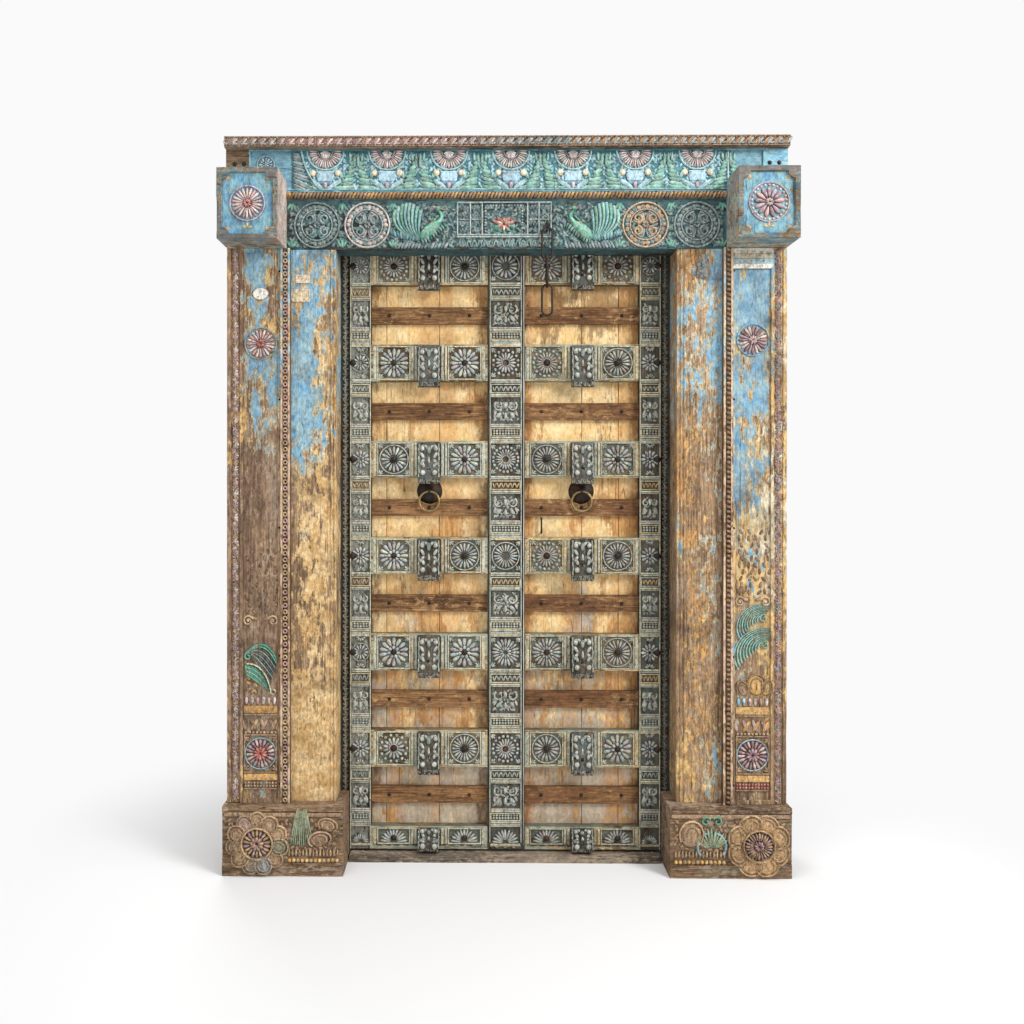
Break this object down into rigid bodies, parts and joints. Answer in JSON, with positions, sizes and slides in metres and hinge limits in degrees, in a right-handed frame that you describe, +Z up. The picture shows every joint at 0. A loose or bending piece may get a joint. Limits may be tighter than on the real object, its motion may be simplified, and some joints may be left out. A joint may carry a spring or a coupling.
{
  "type": "carved temple door with frame",
  "caption": "Weathered carved double door on wooden pivots in its own carved timber frame, with ring pulls and a hanging chain.",
  "frame": {"origin": "bottom centre of the door's box, on the ground under the middle of the doorway", "axes": "+X to the right seen from the street, +Y away from the street through the doorway, +Z up"},
  "size_m": [1.78, 0.344, 2.323],
  "materials": {
    "jamb_wood": "weathered ochre timber with flaking blue paint",
    "pilaster_paint": "carved timber under flaking blue and ochre paint",
    "bead_wood": "pinkish ochre timber",
    "lintel_paint": "carved timber under worn teal and grey paint",
    "corner_paint": "carved timber under worn light blue and pink paint",
    "head_paint": "carved timber under worn light blue paint",
    "cornice_paint": "carved timber, worn pinkish red",
    "rope_paint": "carved timber, worn ochre gold",
    "plinth_wood": "carved block with worn pink, green and blue paint",
    "threshold_wood": "dark worn timber",
    "stile_wood": "carved timber with worn paint",
    "plank_wood": "golden brown bare timber",
    "rail_paint": "carved timber under worn cream and green paint",
    "batten_wood": "dark rough timber",
    "bracket_paint": "carved timber under worn cream paint",
    "iron": "dark rusty forged iron",
    "ring_metal": "dull worn brass"
  },
  "bodies": {
    "frame": {"left_jamb": "jamb_wood", "right_jamb": "jamb_wood", "left_pilaster": "pilaster_paint", "right_pilaster": "pilaster_paint", "left_bead_strip": "bead_wood", "right_bead_strip": "bead_wood", "left_plinth": "plinth_wood", "right_plinth": "plinth_wood", "left_corner_block": "corner_paint", "right_corner_block": "corner_paint", "left_pivot_shoe": "iron", "right_pivot_shoe": "iron", "lintel_beam": "lintel_paint", "rope_moulding": "rope_paint", "head_board": "head_paint", "cornice_strip": "cornice_paint", "threshold": "threshold_wood", "frame_nails": "iron", "chain_staple": "iron"},
    "left_leaf": {"left_hanging_stile": "stile_wood", "left_plank_1": "plank_wood", "left_plank_2": "plank_wood", "left_plank_3": "plank_wood", "left_rail_1": "rail_paint", "left_rail_2": "rail_paint", "left_rail_3": "rail_paint", "left_rail_4": "rail_paint", "left_rail_5": "rail_paint", "left_rail_6": "rail_paint", "left_rail_7": "rail_paint", "left_battens": "batten_wood", "left_brackets": "bracket_paint", "left_studs": "iron", "left_pull_boss": "iron", "centre_stile": "stile_wood"},
    "right_leaf": {"right_hanging_stile": "stile_wood", "right_plank_1": "plank_wood", "right_plank_2": "plank_wood", "right_plank_3": "plank_wood", "right_rail_1": "rail_paint", "right_rail_2": "rail_paint", "right_rail_3": "rail_paint", "right_rail_4": "rail_paint", "right_rail_5": "rail_paint", "right_rail_6": "rail_paint", "right_rail_7": "rail_paint", "right_battens": "batten_wood", "right_brackets": "bracket_paint", "right_studs": "iron", "right_pull_boss": "iron", "leaf_staple": "iron"},
    "left_pull": {"left_pull_ring": "ring_metal"},
    "right_pull": {"right_pull_ring": "ring_metal"},
    "link_1": {"chain_link_1": "iron"},
    "link_2": {"chain_link_2": "iron"},
    "link_3": {"chain_link_3": "iron"}
  },
  "joints": [
    {"name": "left_leaf_hinge", "type": "hinge", "parent": "frame", "child": "left_leaf", "pos_m": [-0.566, 0.112, 1], "axis": [0, 0, 1], "range_deg": [0, 95]},
    {"name": "right_leaf_hinge", "type": "hinge", "parent": "frame", "child": "right_leaf", "pos_m": [0.566, 0.112, 1], "axis": [0, 0, -1], "range_deg": [0, 95]},
    {"name": "left_pull_swing", "type": "hinge", "parent": "left_leaf", "child": "left_pull", "pos_m": [-0.2485, 0.081, 1.203], "axis": [1, 0, 0], "range_deg": [-95, 3]},
    {"name": "right_pull_swing", "type": "hinge", "parent": "right_leaf", "child": "right_pull", "pos_m": [0.2525, 0.081, 1.203], "axis": [1, 0, 0], "range_deg": [-95, 3]},
    {"name": "link_1_swing", "type": "hinge", "parent": "frame", "child": "link_1", "pos_m": [0.129, -0.044, 2.0205], "axis": [0, 1, 0], "range_deg": [-35, 35]},
    {"name": "link_2_swing", "type": "hinge", "parent": "link_1", "child": "link_2", "pos_m": [0.129, -0.044, 1.9308], "axis": [1, 0, 0], "range_deg": [-35, 35]},
    {"name": "link_3_swing", "type": "hinge", "parent": "link_2", "child": "link_3", "pos_m": [0.129, -0.044, 1.8411], "axis": [0, 1, 0], "range_deg": [-45, 45]}
  ]
}
